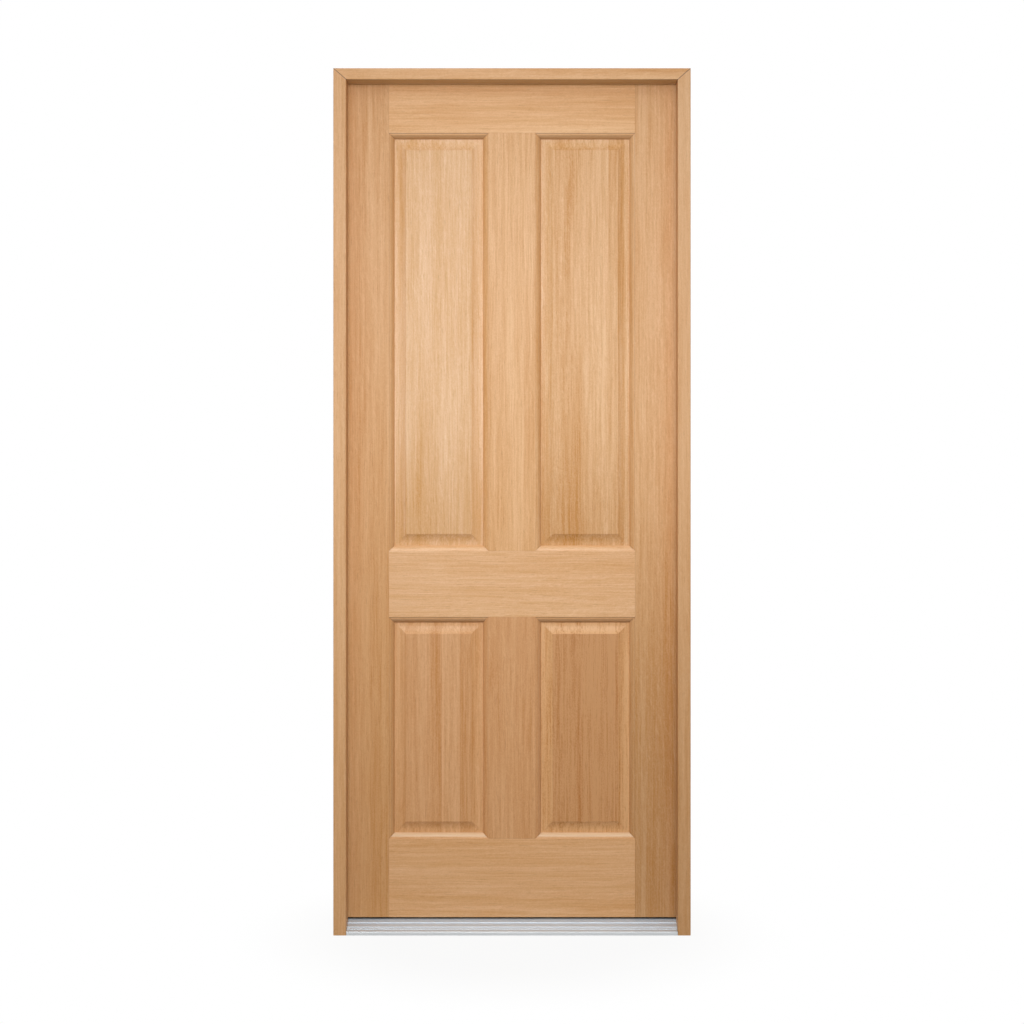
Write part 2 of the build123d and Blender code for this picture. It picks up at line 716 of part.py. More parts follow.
# Hinges: a plate with knuckles on the jamb, one on the leaf, a pin and two bearings
plate_end = pin_y - barrel_radius - barrel_notch_clearance
hinge_plates = {
    "frame_plate": (jamb_plate_face, -plate_thickness, jamb_knuckles, right),
    "leaf_plate": (leaf_plate_face, plate_thickness, leaf_knuckles, left),
}
for hinge, bottom in hinge_bottoms.items():
    for plate_name, (face, thickness, knuckles, facing) in hinge_plates.items():
        with BuildPart() as plate:
            with BuildSketch(Plane(origin=(face, 0, bottom), x_dir=inwards, z_dir=right)):
                with Locations((plate_start, 0)):
                    Rectangle(plate_end - plate_start, hinge_height, align=(Align.MIN, Align.MIN))
                with Locations(*[(plate_start, knuckle) for knuckle in knuckles]):
                    Rectangle(pin_y - plate_start, knuckle_height, align=(Align.MIN, Align.MIN))
            extrude(amount=thickness)
            for knuckle in knuckles:
                with BuildSketch(Plane.XY.offset(bottom + knuckle)):
                    with Locations((pin_x, pin_y)):
                        Circle(barrel_radius)
                extrude(amount=knuckle_height)
            with Locations((pin_x, pin_y, bottom)):
                Hole(pin_bore_radius, depth=hinge_height)
            with Locations(*hinge_hole_places(face, facing)):
                CounterSinkHole(screw_bore, screw_sink_radius, plate_thickness, right_angle)
        plate.part.label = f"{hinge}_hinge_{plate_name}"
        export_step(plate.part, f"parts/{hinge}_hinge_{plate_name}.step")

    with BuildPart() as hinge_pin:
        pin_middle = (pin_x, pin_y, bottom + hinge_height / 2)
        with BuildSketch(Plane(origin=pin_middle, x_dir=right, z_dir=outwards)):
            dome_edge = hinge_height / 2 + pin_head_height - pin_dome_height
            with BuildLine():
                Polyline((0, 0), (pin_radius, 0), (pin_radius, hinge_height / 2))
                Polyline((pin_radius, hinge_height / 2), (pin_head_radius, hinge_height / 2))
                Polyline((pin_head_radius, hinge_height / 2), (pin_head_radius, dome_edge))
                TangentArc((0, dome_edge + pin_dome_height), (pin_head_radius, dome_edge), tangent=right)
                Polyline((0, dome_edge + pin_dome_height), (0, 0))
            make_face()
            mirror(about=Plane.XZ)
        revolve(axis=Axis((pin_x, pin_y, 0), up))
    hinge_pin.part.label = f"{hinge}_hinge_pin"
    export_step(hinge_pin.part, f"parts/{hinge}_hinge_pin.step")

    with BuildPart() as bearings:
        for knuckle in (knuckle_bottoms[0], knuckle_bottoms[-2]):
            with BuildSketch(Plane.XY.offset(bottom + knuckle + knuckle_height + bearing_clearance)):
                with Locations((pin_x, pin_y)):
                    Circle(barrel_radius - bearing_inset)
                    Circle(pin_bore_radius, mode=Mode.SUBTRACT)
            extrude(amount=bearing_thickness)
    bearings.part.label = f"{hinge}_hinge_bearings"
    export_step(bearings.part, f"parts/{hinge}_hinge_bearings.step")
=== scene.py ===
"""Oak front door in its frame: the looks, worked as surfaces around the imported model."""

import math

import bpy
import numpy as np
from bpy.props import FloatProperty, FloatVectorProperty, PointerProperty
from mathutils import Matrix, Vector


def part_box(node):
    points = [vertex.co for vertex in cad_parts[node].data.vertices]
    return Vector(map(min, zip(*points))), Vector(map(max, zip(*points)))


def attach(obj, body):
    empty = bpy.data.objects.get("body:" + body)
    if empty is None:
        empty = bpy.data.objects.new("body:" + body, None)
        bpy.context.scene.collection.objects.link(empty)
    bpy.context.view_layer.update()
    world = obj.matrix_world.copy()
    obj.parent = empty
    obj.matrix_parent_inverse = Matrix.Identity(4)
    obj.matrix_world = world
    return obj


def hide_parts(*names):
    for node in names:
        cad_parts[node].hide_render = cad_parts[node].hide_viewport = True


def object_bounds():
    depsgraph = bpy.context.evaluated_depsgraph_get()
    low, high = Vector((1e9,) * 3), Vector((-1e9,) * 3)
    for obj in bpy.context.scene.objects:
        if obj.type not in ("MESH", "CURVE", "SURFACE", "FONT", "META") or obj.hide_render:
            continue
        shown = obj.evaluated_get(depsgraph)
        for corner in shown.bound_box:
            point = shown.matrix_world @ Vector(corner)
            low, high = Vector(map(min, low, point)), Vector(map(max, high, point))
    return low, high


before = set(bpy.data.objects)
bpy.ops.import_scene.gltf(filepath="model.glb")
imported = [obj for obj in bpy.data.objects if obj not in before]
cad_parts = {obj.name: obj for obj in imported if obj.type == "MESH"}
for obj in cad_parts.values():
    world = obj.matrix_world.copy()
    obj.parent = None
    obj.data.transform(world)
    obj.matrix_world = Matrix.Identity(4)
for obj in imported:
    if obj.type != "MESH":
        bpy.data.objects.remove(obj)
cad_low, cad_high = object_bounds()

bl_info = {
    "name": "Panelled front door",
    "version": (1, 0, 0),
    "blender": (4, 5, 0),
    "location": "View3D > Sidebar > Door",
    "description": "Builds an oak front door with fielded panels, its frame, threshold and hinges",
    "category": "Add Mesh",
}

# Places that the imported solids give
stile_low, stile_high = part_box("hinge_stile")
far_stile_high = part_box("lock_stile")[1]
top_rail_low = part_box("top_rail")[0]
middle_rail_low, middle_rail_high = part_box("middle_rail")
bottom_rail_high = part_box("bottom_rail")[1]
muntin_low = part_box("upper_muntin")[0]
jamb_low, jamb_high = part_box("hinge_jamb")
head_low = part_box("head")[0]
hinge_names = ("upper", "middle", "lower")
hinge_boxes = {name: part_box(f"{name}_hinge_leaf_plate") for name in hinge_names}

leaf_middle = (stile_low.y + stile_high.y) / 2
leaf_half = (stile_high.y - stile_low.y) / 2

# Points along the arcs of a section, the angle from which an edge stays sharp, and the corners of a rectangle
ovolo_points = 22
bevel_points = 22
arris_points = 9
sharp_angle = math.radians(14)
corner_turns = np.array(((-1, -1), (1, -1), (1, 1), (-1, 1)))

# Shares of the hairline chamfer: the middle of a member's face edge, and the drop at the edge of a panel's field
face_ease_share = 0.3
field_ease_share = 0.4

# Moulding: slope at the start of the ovolo, shares of the run where its painted shade sets in and where it is full,
# marks of painted shade in the quirk on the five points from the face edge on, and where the corners of the groove
# lie on a square edge
ovolo_slope = 0.1
painted_shade_shares = (0.24, 0.44)
quirk_shade_marks = np.array((0.5, 1, 1, 0.7, 0.2))
square_groove_share = 0.9

# Distance on the face over which the painted shade of a plain edge fades out
painted_shade_reach = 0.021

# Screws: points round them, rings of head and shank, and shares of a hinge plate's height where they sit
screw_points = 48
head_rings = 15
shank_rings = 64
plate_screw_shares = (0.14, 0.38, 0.62, 0.86)

# Heights between which the oak's painted shade changes: low ends of members and of panels, and high ends
member_fall = (1.25, 0.3)
panel_fall = (1.3, 0.92)
crown_rise = (1.3, 1.8)

# Distances over which the mitre lines and the painted shade on the inner sides of the frame timber fade out, and
# heights over which the threshold turns to its painted cool light
mitre_fade = (0.0008, 0.0016)
head_side_fade = (0.0004, 0.0012)
jamb_side_fade = (0.001, 0.0024)
threshold_rise = (0.005, 0.025)

# Slant of the rays in the oak, and the tone of a board that has no staves
ray_slant = math.radians(14)
plain_stave_tone = 0.5

sensor_width = 36

# Boards of oak. Heart is where the middle of the rings lies, across and behind the board, and shift moves the board
# to its own part of the figure. Stave is the width of its staves, and fine and broad say how strong those parts of
# the figure are. Foot, dim and crown are painted shade: they deepen the low end, where the light falls off towards
# the floor, and the high end. Bevel is a tint for the slopes of a panel that paints their light and shade, and inner
# one for the sides of the frame that look into the doorway, painted shade on the reveals and the soffit. The tints of
# the lower muntin and the lower panels are partly painted shade, and that of the upper left panel partly a painted
# sheen.
BOARDS = {
    "hinge_stile": {
        "heart": (0.21, 0.03), "shift": (0.3, 0.1, 0.7), "tint": (0.935, 0.885, 0.81),
        "stave": 0.075, "fine": 0.85, "foot": 0.08, "dim": 0.12,
    },
    "lock_stile": {
        "heart": (0.08, 0.05), "shift": (1.3, 0.4, 2.9), "tint": (0.97, 0.95, 0.92),
        "stave": 0.075, "fine": 0.9, "foot": 0.2, "dim": 0.36,
    },
    "top_rail": {
        "along": "X", "heart": (0.12, 0.06), "shift": (0.2, 1.1, 0.4), "tint": (1.035, 1.0, 0.94),
        "fine": 0.8, "broad": 0.32,
    },
    "middle_rail": {
        "along": "X", "heart": (0.30, 0.10), "shift": (0.9, 2.1, 1.7), "tint": (1.03, 1.04, 1.1),
        "fine": 0.8, "broad": 0.32,
    },
    "bottom_rail": {
        "along": "X", "heart": (0.22, 0.07), "shift": (2.4, 0.6, 3.3), "tint": (1.01, 0.995, 1.015),
        "fine": 0.8, "broad": 0.32,
    },
    # The lower muntin's darker, warmer tint is partly painted shade of the light that falls off towards the floor.
    "lower_muntin": {
        "heart": (0.10, 0.05), "shift": (1.9, 0.8, 1.2), "tint": (0.86, 0.76, 0.68), "stave": 0.06,
    },
    "upper_muntin": {
        "heart": (0.16, 0.04), "shift": (0.6, 1.7, 2.2), "tint": (0.985, 0.95, 0.89), "stave": 0.06,
    },
    # The lower panels' darker, warmer tints are partly painted shade of the light that falls off towards the floor.
    "lower_left_panel": {
        "heart": (0.15, 0.02), "shift": (0.4, 1.4, 0.9), "tint": (0.88, 0.795, 0.74),
        "stave": 0.042, "fine": 0.95, "broad": 1.0, "bevel": (1.05, 1.07, 1.06),
    },
    "lower_right_panel": {
        "heart": (0.19, 0.03), "shift": (2.2, 0.2, 2.6), "tint": (0.735, 0.595, 0.455),
        "stave": 0.042, "fine": 1.8, "broad": 1.3, "bevel": (1.22, 1.36, 1.52),
    },
    # The upper left panel's paler, bluer tint is partly a painted sheen.
    "upper_left_panel": {
        "heart": (0.27, 0.05), "shift": (1.1, 2.3, 0.3), "tint": (1.076, 1.17, 1.36),
        "stave": 0.042, "fine": 0.75, "broad": 0.4, "bevel": (1.05, 1.06, 1.1),
        "foot": 0.25, "dim": 0.08, "crown": 0.16, "fall": panel_fall,
    },
    "upper_right_panel": {
        "heart": (0.23, 0.04), "shift": (3.1, 1.9, 0.9), "tint": (0.99, 0.985, 0.97),
        "stave": 0.042, "fine": 1.1, "broad": 0.75, "bevel": (1.03, 1.06, 1.12),
        "foot": 0.22, "dim": 0.13, "crown": 0.06, "fall": panel_fall,
    },
    "hinge_jamb": {
        "heart": (0.25, 0.1), "shift": (0.8, 0.3, 1.4), "tint": (0.955, 0.93, 0.915),
        "fine": 0.7, "broad": 0.4, "foot": 0.05, "dim": 0.05, "inner": (0.78, 0.75, 0.68),
    },
    "lock_jamb": {
        "heart": (0.18, 0.12), "shift": (2.8, 0.9, 0.6), "tint": (0.935, 0.91, 0.895),
        "fine": 0.7, "broad": 0.4, "foot": 0.15, "dim": 0.22, "inner": (0.92, 0.93, 0.92),
    },
    "head": {
        "along": "X", "heart": (0.2, 0.09), "shift": (1.6, 1.2, 2.4), "tint": (0.995, 0.975, 0.965),
        "fine": 0.7, "broad": 0.4, "inner": (0.84, 1.04, 1.26),
    },
    "rail_dowels": {"along": "X", "heart": (0.1, 0.1), "shift": (0, 0, 0), "tint": (1, 1, 1)},
    "muntin_dowels": {"heart": (0.1, 0.1), "shift": (0, 0, 0), "tint": (1, 1, 1)},
}


def length(name, description, default):
    """A size in metres that a user may change."""
    return FloatProperty(name=name, description=description, default=default, subtype="DISTANCE", unit="LENGTH")


def share(name, description, default):
    """A number from nothing to all."""
    return FloatProperty(name=name, description=description, default=default, min=0, max=1, subtype="FACTOR")


def colour(name, description, default):
    """A linear colour."""
    limits = {"min": 0, "max": 1}
    return FloatVectorProperty(name=name, description=description, default=default, subtype="COLOR", **limits)


def power(name, description, default):
    """Power of a lamp in watts."""
    return FloatProperty(name=name, description=description, default=default, unit="POWER")


def angle(name, description, default):
    """An angle, with its default in degrees."""
    return FloatProperty(name=name, description=description, default=math.radians(default), subtype="ANGLE")


def point(name, description, default):
    """A point in the shared frame."""
    return FloatVectorProperty(name=name, description=description, default=default, subtype="TRANSLATION")


class DoorJoinery(bpy.types.PropertyGroup):
    """Sizes of the moulding, the panels and the eased edges."""

    moulding_width: length("Moulding width", "From the face edge to the sight line", 0.013)
    moulding_depth: length("Moulding depth", "From the face to the panel groove", 0.012)
    quirk_step: length("Quirk", "Step from the face down to the ovolo", 0.0012)
    lip_drop: length("Lip drop", "Height of the lip over the groove", 0.0016)
    groove_depth: length("Groove depth", "Depth of the panel groove from the sight line", 0.012)
    field_recess: length("Field recess", "From the face of the leaf back to the field", 0.003)
    bevel_width: length("Bevel width", "Run of the hollow bevel round the field", 0.028)
    panel_clearance: length("Panel clearance", "Room on each side of the tongue", 0.0002)
    panel_edge_room: length("Panel edge room", "Room at the tip of the tongue", 0.002)
    arris_radius: length("Arris radius", "Eased outer edge of the stiles", 0.0015)
    joint_ease: length("Joint ease", "Hairline chamfer where two members meet", 0.00035)
    hinge_recess: length("Hinge recess", "Depth that a hinge plate is let in", 0.003)
    hinge_clearance: length("Hinge clearance", "Room round a hinge plate", 0.0002)


class DoorOak(bpy.types.PropertyGroup):
    """Colours and figure of the lacquered oak."""

    pale: colour("Pale wood", "Colour of the late wood", (0.845, 0.533, 0.285))
    deep: colour("Deep wood", "Colour of the early wood", (0.585, 0.25, 0.045))
    pore: colour("Pore", "Colour in the open pores", (0.38, 0.16, 0.035))
    # Painted highlight: the bottom mouldings turn to this pale colour where their mark is negative.
    painted_highlight: colour("Worn wood", "Colour of worn edges", (0.86, 0.66, 0.45))
    # Dark lines at joints and mitres, and painted shade in the mouldings.
    stain_and_shade: colour("Stain", "Colour in the hollows of the mouldings", (0.27, 0.14, 0.07))
    # Painted shade: the low ends are multiplied with this colour where the light falls off towards the floor.
    dull: colour("Dull wood", "Colour that the low ends are multiplied with", (0.5, 0.48, 0.47))
    ring_spacing: length("Ring spacing", "Width of one year's growth", 0.0032)
    roughness: share("Roughness", "Roughness of the satin lacquer", 0.46)
    pore_depth: length("Pore depth", "Depth of the open pores", 0.00012)


class DoorMetal(bpy.types.PropertyGroup):
    """Colours of the metal and rubber fittings."""

    aluminium: colour("Aluminium", "Mill finish of the threshold", (0.67, 0.70, 0.72))
    # Painted light: the threshold turns to this cooler tone near the leaf.
    aluminium_painted_light: colour("Aluminium, top", "Mill finish near the leaf", (0.65, 0.74, 0.83))
    hinge_steel: colour("Hinge steel", "Satin steel of the hinges", (0.55, 0.54, 0.525))
    screw_steel: colour("Screw steel", "Bright steel of the screws", (0.62, 0.605, 0.58))
    rubber: colour("Rubber", "Seals", (0.12, 0.11, 0.10))


class DoorScrews(bpy.types.PropertyGroup):
    """Sizes of the countersunk screws."""

    head_radius: length("Head radius", "Radius of the countersunk head", 0.0044)
    shank_radius: length("Shank radius", "Radius over the thread", 0.0023)
    thread_depth: length("Thread depth", "Height of the thread's ridge", 0.0006)
    thread_pitch: length("Thread pitch", "Rise of one turn of the thread", 0.0022)
    recess_depth: length("Recess depth", "Depth of the cross recess", 0.0021)
    recess_reach: length("Recess reach", "Length of one arm of the cross", 0.0027)
    recess_width: length("Recess width", "Half the width of an arm", 0.00062)
    tip_length: length("Tip length", "Length of the point", 0.004)
    corner_length: length("Corner screw length", "Screws from the jambs into the head", 0.06)
    threshold_length: length("Threshold screw length", "Screws from the jambs into the threshold", 0.055)


class DoorStage(bpy.types.PropertyGroup):
    """Camera, lamps and floor."""

    lens: FloatProperty(name="Lens", description="Focal length on a 36 mm sensor", default=59.4, unit="CAMERA")
    camera_distance: length("Camera distance", "From the middle of the frame to the camera", 4.1075)
    camera_height: length("Camera height", "From the floor line to the camera", 1.0177)
    front_power: power("Front lamp power", "Power of the lamp in front of the door", 13.2)
    front_place: point("Front lamp place", "Middle of the lamp in front of the door", (-0.12, -2.6, 1.92))
    front_aim: length("Front lamp aim", "Height on the door that the front lamp looks at", 1.6)
    front_size: length("Front lamp size", "Side of the square front lamp", 1.0)
    front_beam: angle("Front lamp beam", "Angle of the front lamp's beam", 120)
    top_power: power("Top lamp power", "Power of the lamp above the door", 2.5)
    top_place: point("Top lamp place", "Middle of the lamp above the door", (-0.1, -2.9, 3.1))
    top_aim: length("Top lamp aim", "Height on the door that the top lamp looks at", 0.4)
    top_size: length("Top lamp size", "Side of the square top lamp", 0.8)
    top_beam: angle("Top lamp beam", "Angle of the top lamp's beam", 50)
    back_power: power("Back lamp power", "Power of the lamp behind the door", 10.0)
    back_place: point("Back lamp place", "Middle of the lamp behind the door", (0.3, 2.8, 2.0))
    ambient: share("Ambient", "Level of the soft light from the horizon", 0.5)
    overhead: share("Overhead", "Level of the soft light from above", 0.6)
    floor_tone: colour("Floor tone", "Colour of the floor in the shade", (0.28, 0.235, 0.18))
    floor_reach: length("Floor reach", "From the middle of the floor to its sides", 9.0)
    floor_drop: length("Floor drop", "Room between the floor and the door", 0.0005)
    floor_shade: share("Floor shade", "How much of the shadow shows on the white floor", 0.06)
    shade_start: length("Shade start", "Distance up to which the shadow shows in full", 0.3)
    shade_reach: length("Shade reach", "Distance at which the floor is plain white", 0.7)


class Paint:
    """A shader socket in Python expressions: each operator adds one Math node to its tree."""

    def __init__(self, tree, socket=None):
        self.tree = tree
        self.socket = socket

    def node(self, kind, settings=None, sockets=None, output=0):
        """Adds a node, sets its settings, then the values or links of its sockets, and gives one output."""
        made = self.tree.nodes.new(kind)
        for name, value in (settings or {}).items():
            setattr(made, name, value)
        for name, value in (sockets or {}).items():
            if isinstance(value, Paint):
                self.tree.links.new(value.socket, made.inputs[name])
            else:
                made.inputs[name].default_value = value
        return Paint(self.tree, made.outputs[output] if len(made.outputs) else None)

    def math(self, operation, first, second=0.0):
        """A Math node on one or two values."""
        return self.node("ShaderNodeMath", {"operation": operation}, {0: first, 1: second})

    def __add__(self, other):
        return self.math("ADD", self, other)

    def __radd__(self, other):
        return self.math("ADD", other, self)

    def __sub__(self, other):
        return self.math("SUBTRACT", self, other)

    def __rsub__(self, other):
        return self.math("SUBTRACT", other, self)

    def __mul__(self, other):
        return self.math("MULTIPLY", self, other)

    def __rmul__(self, other):
        return self.math("MULTIPLY", other, self)

    def __truediv__(self, other):
        return self.math("DIVIDE", self, other)

    def __pow__(self, other):
        return self.math("POWER", self, other)

    def fade(self, low, high):
        """Smooth step from 0 at low to 1 at high, also where low is the greater one."""
        settings = {"interpolation_type": "SMOOTHSTEP"}
        return self.node("ShaderNodeMapRange", settings, {"Value": self, "From Min": low, "From Max": high})

    def swing(self, weight):
        """This noise about its middle, a half, times a weight."""
        return weight * (self - 0.5)

    def vector(self, operation, other):
        """A Vector Math node on this vector and another one."""
        return self.node("ShaderNodeVectorMath", {"operation": operation}, {0: self, 1: other})

    def part(self, axis):
        """One part of this vector."""
        return self.node("ShaderNodeSeparateXYZ", None, {"Vector": self}, output=axis)

    def noise(self, scale, detail=2.0, roughness=0.5):
        """Soft noise from 0 to 1 at this vector, stretched by one scale for each axis."""
        scaled = self.vector("MULTIPLY", scale)
        sockets = {"Vector": scaled, "Scale": 1.0, "Detail": detail, "Roughness": roughness}
        return self.node("ShaderNodeTexNoise", None, sockets)

    def mix(self, factor, first, second, blend="MIX"):
        """The colour that a factor gives from first to second."""
        settings = {"data_type": "RGBA", "blend_type": blend, "clamp_factor": True}
        return self.node("ShaderNodeMix", settings, {"Factor": factor, 6: first, 7: second}, output=2)

    def turned(self, tone, factor, blend="MIX"):
        """This colour turned towards a tone by a factor."""
        return self.mix(factor, self, solid(tone), blend)


def solid(tone):
    """A colour with full alpha."""
    return (*tone, 1.0)


def new_material(name):
    """An empty node material and the Paint that adds to it."""
    material = bpy.data.materials.new(name)
    material.use_nodes = True
    material.node_tree.nodes.clear()
    return material, Paint(material.node_tree)


def surface(paint, sockets):
    """The principled shader with these sockets, linked to the material's output."""
    shader = paint.node("ShaderNodeBsdfPrincipled", None, sockets)
    paint.node("ShaderNodeOutputMaterial", None, {"Surface": shader})


def mitre_line(place):
    """Dark hairline where head and jamb meet: near the plane in which the drop from the top is in proportion to
    the distance from the outer side."""
    drop = cad_high.z - place.part("Z")
    slope = (jamb_high.z - head_low.z) / (jamb_high.x - jamb_low.x)
    away = drop - slope * (cad_high.x - place.math("ABSOLUTE", place.part("X")))
    return 0.95 * (1 - place.math("ABSOLUTE", away).fade(*mitre_fade))


def doorway_side(place, along):
    """Mask of the painted shade on the reveals and the soffit: 1 on the sides of jambs and head that look into the
    doorway, 0 on their faces.
    """
    if along == "X":
        return 1 - (place.part("Z") - head_low.z).fade(*head_side_fade)
    return 1 - (place.math("ABSOLUTE", place.part("X")) + jamb_high.x).fade(*jamb_side_fade)


def staved(board, width):
    """A board of glued staves with uneven widths: strips of the place across, which noise stretches here and there.
    Gives the place in the figure, moved by chance for each stave, and a tone by chance for each."""
    uneven = 0.05 * board.noise((9, 0, 0), detail=1.0)
    strip = board.math("FLOOR", (board.part("X") + uneven) / width)
    by_strip = {"noise_dimensions": "1D"}
    chance = board.node("ShaderNodeTexWhiteNoise", by_strip, {"W": strip}, output="Color")
    tone = board.node("ShaderNodeTexWhiteNoise", by_strip, {"W": strip + 7.3})
    return board.vector("ADD", chance.vector("MULTIPLY", (0.05, 0.03, 2.0))), tone


def oak_material(name, look, heart, shift, tint, along="Z", stave=0.0, fine=1.0, broad=0.5, foot=0.0, dim=0.0,
                 crown=0.0, fall=member_fall, inner=None, bevel=None):
    """Lacquered oak with its grain along Z or X. Rings are circles round a heart line beside the board, which wanders
    slowly along the grain, and each ring is deepest on its inner side. Fibres, dashes, streaks and pores are noise
    stretched along the grain. Rays are pale spots of slanted noise where the drift of the board is high. Foot and
    crown deepen the low and the high end, and dim multiplies the low end with the dull colour: all three are painted
    shade. By the points' hollow marks, bevels take their tint, which paints the light and shade of the slopes, and
    mouldings take the dark colour where the mark is positive, as painted shade in the mouldings and dark lines at the
    eased joints, and the pale colour where it is negative, as a painted highlight. Frame timber has painted shade on
    its inner sides and dark lines at its mitres instead."""
    material, paint = new_material(name)
    place = paint.node("ShaderNodeTexCoord", output="Object")
    turn = (0, math.radians(90), 0) if along == "X" else (0, 0, 0)
    board = paint.node("ShaderNodeMapping", None, {"Vector": place, "Rotation": turn, "Location": shift})
    tone = plain_stave_tone
    if stave:
        board, tone = staved(board, stave)
    sway = board.node("ShaderNodeTexNoise", None, {"Vector": board, "Scale": 9.0, "Detail": 3.0}, output="Color")
    board = board.vector("ADD", sway.vector("MULTIPLY", (0.007, 0.007, 0)))

    drift = board.noise((5, 5, 0.9))
    bend = board.noise((14, 14, 1.6))
    side = board.part("X") + heart[0] + drift.swing(0.05) + bend.swing(0.008)
    back = board.part("Y") + heart[1] + bend.swing(0.03)
    radius = board.math("SQRT", side * side + back * back)
    growth = board.math("FRACT", radius / look.ring_spacing)
    early = (1 - growth) ** 2.2

    band = board.noise((40, 40, 1.3))
    wide = board.noise((17, 17, 0.5), detail=1.0)
    streak = board.noise((110, 110, 2.2), roughness=0.55)
    dash = board.noise((300, 300, 7))
    fleck = board.noise((380, 380, 260))
    slant = board.node("ShaderNodeVectorRotate", {"rotation_type": "Y_AXIS"}, {"Vector": board, "Angle": ray_slant})
    ray = slant.noise((230, 230, 45), detail=1.0).fade(0.52, 0.74) * drift.fade(0.4, 0.6)
    fibre = board.noise((1400, 1400, 45), roughness=0.6)
    vessel = board.noise((900, 900, 38), detail=1.0)
    pores = vessel.fade(0.6, 0.72) * (0.4 + 0.6 * early)

    # Painted shade: the tone deepens at the low and the high end of a board.
    low_end = place.part("Z").fade(*fall)
    high_end = place.part("Z").fade(*crown_rise)
    depth_of_tone = (
        0.36
        + foot * low_end
        + crown * high_end
        + 0.1 * (early - 0.3)
        + fine * (fibre.swing(0.3) + dash.swing(0.9) + fleck.swing(0.6) + streak.swing(0.65))
        - 0.16 * fine * ray
        + band.swing(0.5)
        + drift.swing(0.3)
        + broad * (wide + 0.3 * tone - 0.65)
    )
    wood = paint.mix(depth_of_tone, solid(look.pale), solid(look.deep))
    wood = wood.turned(look.pore, pores * 0.42)
    wood = wood.turned(tint, 1.0, "MULTIPLY")
    # Painted shade: the low end is multiplied with the dull colour.
    if dim:
        wood = wood.turned(look.dull, dim * low_end, "MULTIPLY")
    # Painted shade on the sides that look into the doorway; the dark lines at the mitres are joints.
    if inner:
        wood = wood.turned(inner, doorway_side(place, along), "MULTIPLY")
        wood = wood.turned(look.stain_and_shade, mitre_line(place))
    else:
        hollow = paint.node("ShaderNodeAttribute", {"attribute_name": "hollow"}, output="Fac")
        # Painted light and shade: the slopes of a panel take the bevel tint.
        if bevel:
            wood = wood.turned(bevel, hollow, "MULTIPLY")
        else:
            # Painted shade in the mouldings and dark lines at the eased joints where the mark is positive, a painted
            # highlight where it is negative.
            wood = wood.turned(look.stain_and_shade, 0.6 * hollow)
            wood = wood.turned(look.painted_highlight, -1 * hollow)
    relief = 0.5 * fibre - pores - 0.25 * early
    bump = paint.node("ShaderNodeBump", None, {"Strength": 0.55, "Distance": look.pore_depth, "Height": relief})
    sheen = look.roughness + 0.16 * pores + streak.swing(0.10)
    surface(paint, {"Base Color": wood, "Roughness": sheen, "Normal": bump, "IOR": 1.47})
    return material


def metal_material(name, tone, roughness, grain, bright=1.0, top=None):
    """Bare metal: fine draw lines along one axis in its colour, its roughness and its relief. With a top tone,
    the colour turns to it over the height of the threshold, as painted light: cooler near the leaf, against the
    warm light that the oak throws there."""
    material, paint = new_material(name)
    place = paint.node("ShaderNodeTexCoord", output="Object")
    lines = place.noise(grain, detail=3.0, roughness=0.65)
    cloud = place.noise((6, 6, 6), detail=3.0)
    shade = (0.86 + 0.2 * lines + cloud.swing(0.12)).fade(0.0, 1.2)
    bare = paint.mix(shade, solid([0.6 * value for value in tone]), solid(tone))
    # Painted light: a cooler tone towards the top of the threshold.
    if top:
        bare = bare.turned(top, place.part("Z").fade(*threshold_rise))
    dull = roughness + lines.swing(0.16) + cloud.swing(0.12)
    bump = paint.node("ShaderNodeBump", None, {"Strength": 0.25, "Distance": 0.00004, "Height": lines})
    surface(paint, {"Base Color": bare, "Metallic": bright, "Roughness": dull, "Normal": bump})
    return material


def rubber_material(name, tone):
    """Matt rubber with a faint bloom and a fine skin."""
    material, paint = new_material(name)
    place = paint.node("ShaderNodeTexCoord", output="Object")
    bloom = place.noise((40, 40, 40), detail=3.0)
    skin = place.noise((2500, 2500, 2500), detail=1.0)
    shade = paint.mix(bloom.fade(0.35, 0.8), solid(tone), solid([2.2 * value for value in tone]))
    bump = paint.node("ShaderNodeBump", None, {"Strength": 0.3, "Distance": 0.00005, "Height": skin})
    surface(paint, {"Base Color": shade, "Roughness": 0.62 + 0.2 * bloom, "Normal": bump})
    return material


def dress(node, material):
    """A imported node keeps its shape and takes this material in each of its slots."""
    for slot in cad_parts[node].material_slots:
        slot.material = material


def volume(points, faces):
    """Signed volume of faces with equal counts of corners: a sixth of the sum of the triple products over the
    triangles that fan out from each face's first corner."""
    first, second, third = points[faces[:, :1]], points[faces[:, 1:-1]], points[faces[:, 2:]]
    return np.sum(first * np.cross(second, third)) / 6


